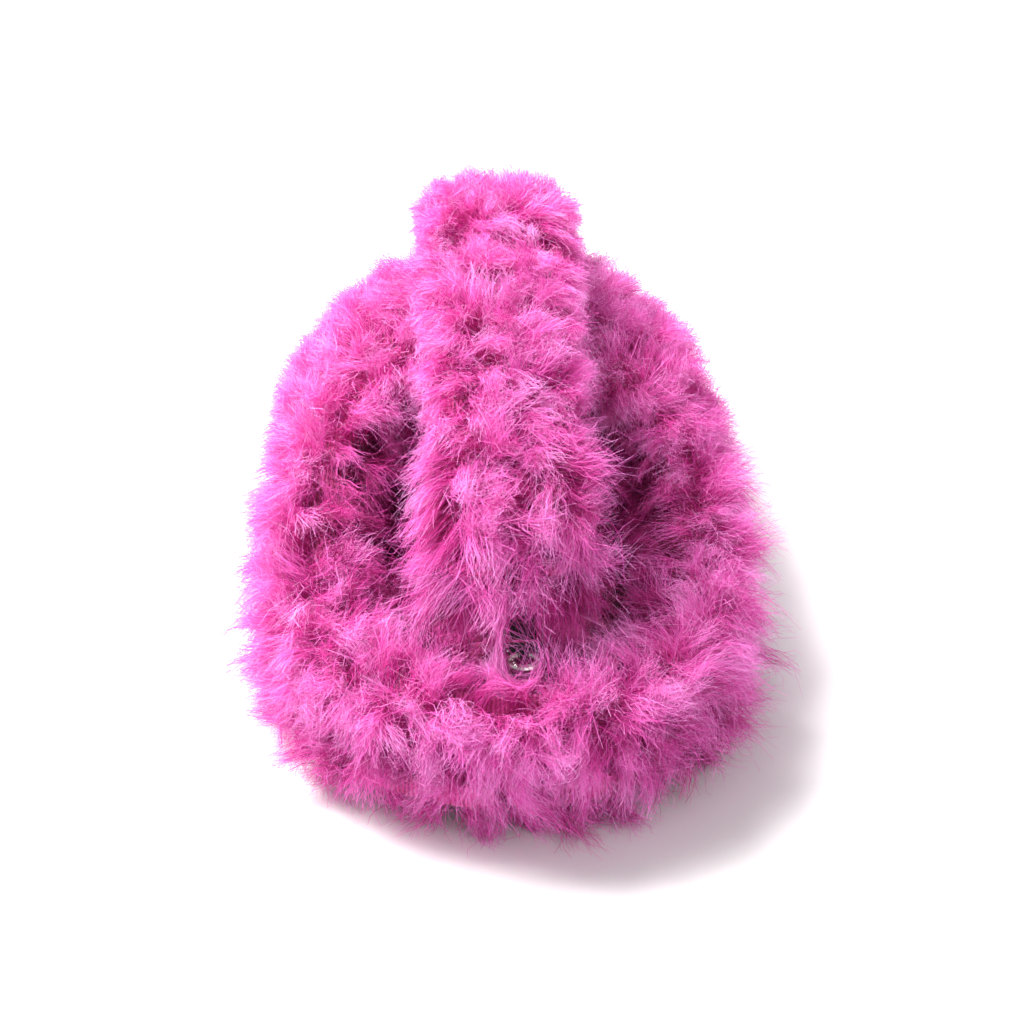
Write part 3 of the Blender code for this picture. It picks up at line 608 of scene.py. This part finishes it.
def sideways(p):
    """The pile's uneven lie: longer on the left side, shorter round the heel's left corner."""
    left = smoothstep(-p[:, 0], 0.0, 0.03)
    side = np.exp(-(((p[:, 1] + 0.045) / 0.035) ** 2))
    return left * (3.6 * side - 2.0 * smoothstep(-p[:, 1], 0.088, 0.112))


def body_depth(p, n):
    """How deep the pile is rooted, which is the same all over the vamp and the quarters."""
    return np.full(len(p), PELT_DEPTH * MM)


def body_reach(p, n, deep):
    """Shorter on the toe, except along the foot of the strap."""
    beside = smoothstep(np.abs(p[:, 0]), 0.022, 0.042)
    toe = 1.5 * (1 - beside) - 4.8 * beside * smoothstep(p[:, 1], 0.0, 0.07)
    return (PILE_LENGTH + toe + sideways(p)) * MM


def collar_depth(p, n):
    """Shallower on the collar's inner side, where its padding is near."""
    return (PELT_DEPTH - 7.5 * inwardness(p, n)) * MM


def collar_reach(p, n, deep):
    """Shorter on the collar's inner side and towards the vamp."""
    shorter = 4.0 * inwardness(p, n) + 4.0 * smoothstep(p[:, 1], -0.02, 0.04)
    return (PILE_LENGTH - shorter + sideways(p)) * MM


def sewn_end(p):
    """From 0 to 1 towards the strap's toe end, where it is sewn down and thins out."""
    return smoothstep(p[:, 1], 0.035, 0.105)


def strap_depth(p, n):
    """Shallower at the strap's edges, its fold and its sewn end."""
    upright = np.sqrt(n[:, 1] ** 2 + n[:, 2] ** 2)
    deep = (5.6 + 5.6 * smoothstep(upright, 0.1, 0.95)) * (1 - 0.62 * sewn_end(p))
    return (deep + (3.0 - deep) * at_fold(p)) * MM


def near_end(p):
    """From 0 to 1 over the last stretch of the free strap, whose pile hangs past its end."""
    return smoothstep(-p[:, 1], 0.060, 0.086)


def strap_reach(p, n, deep):
    """Longer on top than at the sides, and longest at the free end beside the ring."""
    over_ring = np.exp(-(((p[:, 0] - 0.0015) / 0.0032) ** 2))
    hang = near_end(p) * (4.0 + 6.0 * (1 - over_ring))
    return (deep / MM * 1.25 + 3.0 + 4.0 * at_fold(p) + 4.0 * sewn_end(p) + hang) * MM


# Tufts of long pile for the fur and of short pile for the plush
LONG = dict(
    spacing=4.9 * MM, per_tuft=84, lean=(0.30, 0.50), radius=4.5 * MM,
    wave=1.5 * MM, width=0.15 * MM, segments=5,
)
SHORT = dict(
    spacing=3.2 * MM, per_tuft=34, lean=(0.45, 0.35), radius=3.2 * MM,
    wave=1.4 * MM, width=0.20 * MM, segments=3,
)
# How strongly the pile lies down, along the slipper, with the ruffles, and by chance
BODY_FALL = (0.80, 0.15, 0.45, 0.75)
STRAP_FALL = (0.70, 0.50, 0.45, 0.70)
PLUSH_FALL = (0.10, 0.10, 0.60, 0.80)


def make_fur():
    """The knitted pelts and the long pile on them."""
    body = wrapped(UPPER)
    skins = {
        "vamp_fur": body, "collar_fur": body, "quarter_fur_right": body, "quarter_fur_left": body,
        "front_strap_fur": wrapped(FRONT_STRAP, 1.6 * MM), "strap_fur": wrapped(FREE_STRAP, 1.6 * MM),
    }
    backed = {node: open_patch(skin, node, 0.0) for node, skin in skins.items()}
    vamp, collar, right, left, front, free = (open_patch(skin, node) for node, skin in skins.items())
    pelts = (
        ("vamp_pelt", body_depth, "slipper", "vamp_fur"),
        ("collar_pelt", collar_depth, "slipper", "collar_fur"),
        ("quarter_pelt_right", body_depth, "slipper", "quarter_fur_right"),
        ("quarter_pelt_left", body_depth, "slipper", "quarter_fur_left"),
        ("front_strap_pelt", strap_depth, "slipper", "front_strap_fur", "front_strap_pad"),
        ("strap_pelt", strap_depth, "strap", "strap_fur", "strap_pad"),
    )
    for name, depth, ride, *nodes in pelts:
        cover = pelt(name, backed[nodes[0]], depth, ride)
        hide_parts(*nodes)
    body_pile = dict(depth=body_depth, reach_out=body_reach, fall=BODY_FALL, **LONG)
    collar_pile = dict(depth=collar_depth, reach_out=collar_reach, fall=BODY_FALL, **LONG)
    strap_pile = dict(depth=strap_depth, reach_out=strap_reach, fall=STRAP_FALL, **LONG)
    pile("vamp_pile", vamp, "slipper", 3, seed=1, **body_pile)
    pile("collar_pile", collar, "slipper", 4, seed=2, **collar_pile)
    pile("quarter_pile_right", right, "slipper", 1, seed=3, **body_pile)
    pile("quarter_pile_left", left, "slipper", 1, seed=4, **body_pile)
    pile("front_strap_pile", front, "slipper", 1, seed=5, **strap_pile)
    pile("strap_pile", free, "strap", 2, seed=6, **strap_pile)


PLUSH_DEPTH = 0.5 * MM
PLUSH_LENGTH = 9.0 * MM
LININGS = (("vamp_lining", 1), ("quarter_lining", 1), ("sock_liner", 2))  # nodes and pieces of pile
FIRST_LINING_SEED = 7


def plush_depth(p, n):
    """How deep the plush is rooted in its ground."""
    return np.full(len(p), PLUSH_DEPTH)


def plush_reach(p, n, deep):
    """The plush's length, which is the same all over."""
    return np.full(len(p), PLUSH_LENGTH)


def make_linings():
    """The plush inside: the vamp's and the quarters' linings and the sock liner."""
    for seed, (node, pieces) in enumerate(LININGS, FIRST_LINING_SEED):
        skin = wrapped((node,), 1.5 * MM, 3)
        patch = open_patch(skin, node)
        ground = new_object(node + "_ground", skin, PLUSH)
        shade_smooth(skin)
        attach(ground, "slipper")
        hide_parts(node)
        pile(
            node + "_plush", patch, "slipper", pieces, seed=seed, depth=plush_depth,
            reach_out=plush_reach, fall=PLUSH_FALL, **SHORT,
        )


# ---------------------------------------------------------------- webbing and backing
def woven(node, voxel, mat, body):
    """A webbing or knit node again, with its cut edges rounded and a woven surface."""
    skin = wrapped((node,), voxel, 3)
    shade_smooth(skin)
    obj = new_object(node + "_woven", skin, mat)
    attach(obj, body)
    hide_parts(node)
    return obj


TAIL_HALF, TAIL_THICK = 3.6 * MM, 0.9 * MM
TAIL_ROWS, TAIL_COLUMNS = 12, 8


def end_tail():
    """The webbing's turned-under tail, which hangs behind the ring from the end loop."""
    low, high = (Vector(v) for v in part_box("loop_ring"))
    middle = (low.x + high.x) / 2
    rows = []
    for k in range(TAIL_ROWS + 1):
        s = k / TAIL_ROWS
        z = high.z + 1.5 * MM - s * (high.z - low.z - 1.0 * MM)
        y = high.y + 1.6 * MM + 1.2 * MM * math.sin(math.pi * s)
        rows.append((y, z))
    across = [middle + TAIL_HALF * (2 * j / TAIL_COLUMNS - 1) for j in range(TAIL_COLUMNS + 1)]
    bm = bmesh.new()
    grid = [[bm.verts.new((x, y, z)) for x in across] for y, z in rows]
    for a, b in zip(grid, grid[1:]):
        for j in range(TAIL_COLUMNS):
            bm.faces.new((a[j], a[j + 1], b[j + 1], b[j]))
    mesh = bpy.data.meshes.new("end_tail")
    bm.to_mesh(mesh)
    bm.free()
    obj = new_object("end_tail", mesh, WEBBING)
    thick = obj.modifiers.new("thick", "SOLIDIFY")
    thick.thickness = TAIL_THICK
    final = evaluated_mesh(obj)
    obj.modifiers.clear()
    obj.data = final
    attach(obj, "strap")


WEBBINGS = (
    ("strap_webbing", "strap"), ("strap_end_loop", "strap"), ("snap_tab", "snap"),
    ("heel_tongue", "slipper"), ("front_strap_webbing", "slipper"),
)


def make_webbing():
    """The black webbing pieces and the strap's knitted underside."""
    for node, body in WEBBINGS:
        woven(node, 0.35 * MM, WEBBING, body)
    backing = woven("strap_backing", 0.45 * MM, BACKING, "strap")
    end_tail()


# ---------------------------------------------------------------- carried-over nodes
def finish_nodes():
    """Materials for the hard pieces, which stay as they are in the CAD."""
    looks = {
        "outsole": OUTSOLE, "sole_rand": RAND, "midsole": EVA,
        "loop_ring": STEEL, "snap_cap": STEEL, "snap_socket": STEEL,
        "snap_stud": STEEL, "snap_eyelet": STEEL,
    }
    for node, mat in looks.items():
        NODES[node].data.materials.clear()
        NODES[node].data.materials.append(mat)


# ---------------------------------------------------------------- studio
def make_floor():
    """A plain pale floor."""
    bpy.ops.mesh.primitive_plane_add(size=8, location=(0, 0, 0))
    floor = bpy.context.object
    floor.name = "studio_floor"
    mat, _, bsdf = new_material("floor_paper", 0.9)
    bsdf.inputs["Base Color"].default_value = (0.92, 0.92, 0.92, 1)
    floor.data.materials.append(mat)


def area_light(name, location, target, size, power, colour):
    """A round soft light that looks at a target."""
    data = bpy.data.lights.new(name, "AREA")
    data.shape, data.size, data.energy, data.color = "DISK", size, power, colour
    obj = bpy.data.objects.new(name, data)
    bpy.context.scene.collection.objects.link(obj)
    obj.location = location
    obj.rotation_euler = (Vector(target) - Vector(location)).to_track_quat("-Z", "Y").to_euler()


def make_studio():
    """The floor, three soft lights and an even white surround."""
    make_floor()
    area_light("key", (-0.62, 0.30, 0.95), (0, 0.03, 0.05), 0.8, 42.0, (1.0, 0.98, 0.97))
    area_light("back", (-0.1, 0.95, 0.7), (0, 0.05, 0.07), 0.6, 7.0, (1.0, 0.98, 1.0))
    area_light("fill", (0.5, -0.9, 0.7), (0, 0, 0.05), 0.9, 3.0, (0.98, 0.97, 1.0))
    world = bpy.data.worlds.new("studio_world")
    world.use_nodes = True
    background = world.node_tree.nodes["Background"]
    background.inputs["Color"].default_value = (1, 1, 1, 1)
    background.inputs["Strength"].default_value = 0.48
    bpy.context.scene.world = world
    bpy.context.scene.view_settings.view_transform = "Standard"


def make_camera():
    """The camera, turned slightly off the slipper's own line."""
    data = bpy.data.cameras.new("camera")
    data.lens, data.sensor_width = LENS, SENSOR_WIDTH
    data.shift_x, data.shift_y = SHIFT_X, SHIFT_Y
    data.clip_start, data.clip_end = 0.01, 20
    obj = bpy.data.objects.new("camera", data)
    bpy.context.scene.collection.objects.link(obj)
    rise, turn = math.radians(VIEW_ELEVATION), math.radians(VIEW_TURN)
    target = Vector(VIEW_TARGET)
    away = Vector((-math.sin(turn) * math.cos(rise), -math.cos(turn) * math.cos(rise), math.sin(rise)))
    obj.location = target + away * VIEW_DISTANCE
    obj.rotation_euler = (target - obj.location).to_track_quat("-Z", "Y").to_euler()
    bpy.context.scene.camera = obj


make_camera()
make_fur()
make_linings()
make_webbing()
finish_nodes()
make_studio()
